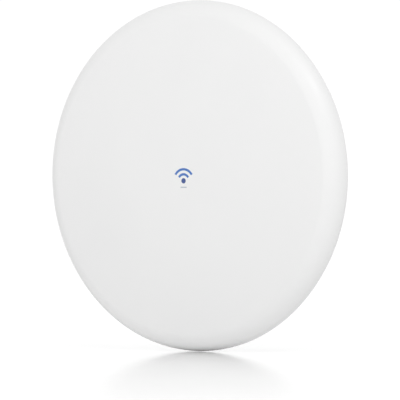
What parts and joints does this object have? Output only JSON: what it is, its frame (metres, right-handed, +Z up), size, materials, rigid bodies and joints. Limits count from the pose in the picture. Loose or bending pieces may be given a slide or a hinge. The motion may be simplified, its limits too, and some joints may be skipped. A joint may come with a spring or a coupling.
{
  "type": "outdoor wireless bridge",
  "caption": "Closed round dish head for a point-to-point radio link, with a cable door at the back, on a ball joint that a collar locks, strapped to a pole.",
  "frame": {"origin": "on the pole's axis, level with the centre of the ball joint, at the middle of the pole bracket's height", "axes": "+Z up along the pole; the dish looks along -Y and the pole mount is behind it; +X is to the right of someone who faces the dish from in front, looking along +Y"},
  "size_m": [0.25, 0.1742, 0.25],
  "materials": {
    "radome": "satin moulded white",
    "shell": "fine moulded white",
    "mount_plastic": "glass-filled moulded light grey",
    "ball_metal": "die cast, satin",
    "reflector_metal": "spun, satin",
    "feed_metal": "machined",
    "lens_plastic": "machined, low loss",
    "steel": "stainless",
    "can_steel": "tinned",
    "board": "solder mask",
    "black_plastic": "moulded black",
    "grey_plastic": "moulded grey",
    "pad": "soft thermal pad",
    "rubber": "matt black",
    "clear_plastic": "clear moulded",
    "label": "blank plate"
  },
  "bodies": {
    "mount": {"pole_bracket": "mount_plastic", "strap_band": "steel", "strap_housing": "steel"},
    "strap_screw": {"strap_screw": "steel"},
    "lock_collar": {"lock_collar": "mount_plastic"},
    "ball_cup": {"friction_cup": "black_plastic"},
    "port_door": {"port_door": "shell", "cable_grommet": "rubber"},
    "reset_button": {"reset_button": "grey_plastic"},
    "head": {"front_radome": "radome", "rim_seal": "rubber", "rear_shell": "shell", "radio_housing": "shell", "reflector": "reflector_metal", "feed_tube": "feed_metal", "feed_nut": "steel", "feed_lens": "lens_plastic", "sub_reflector": "reflector_metal", "radio_board": "board", "radio_shield": "can_steel", "modem_shield": "can_steel", "thermal_pad": "pad", "heat_spreader": "feed_metal", "ethernet_jack": "can_steel", "ethernet_transformer": "black_plastic", "reset_switch": "black_plastic", "hub_seal": "rubber", "hub_cover": "shell", "vent_plug": "black_plastic", "ground_washer": "steel", "ground_screw": "steel", "rating_label": "label", "ball_stud": "ball_metal", "cover_screw_1": "steel", "cover_screw_2": "steel", "cover_screw_3": "steel", "cover_screw_4": "steel", "light_pipe_1": "clear_plastic", "stud_screw_1": "steel", "light_pipe_2": "clear_plastic", "stud_screw_2": "steel", "light_pipe_3": "clear_plastic", "stud_screw_3": "steel"}
  },
  "joints": [
    {"name": "pan", "type": "hinge", "parent": "mount", "child": "ball_cup", "pos_m": [0, -0.04454, 0], "axis": [0, 0, 1], "range_deg": [-20, 20]},
    {"name": "tilt", "type": "hinge", "parent": "ball_cup", "child": "head", "pos_m": [0, -0.04454, 0], "axis": [1, 0, 0], "range_deg": [-20, 20]},
    {"name": "collar_turn", "type": "hinge", "parent": "mount", "child": "lock_collar", "pos_m": [0, -0.04454, 0], "axis": [0, 1, 0], "range_deg": [-180, 0]},
    {"name": "strap_screw_turn", "type": "hinge", "parent": "mount", "child": "strap_screw", "pos_m": [-0.025, 0, 0], "axis": [0, 1, 0], "continuous": true},
    {"name": "door_slide", "type": "slide", "parent": "head", "child": "port_door", "axis": [0, 0, -1], "range_m": [0, 0.0255]},
    {"name": "reset_press", "type": "slide", "parent": "head", "child": "reset_button", "axis": [0, 0, 1], "range_m": [0, 0.0008], "stiffness_N_per_m": 400}
  ]
}
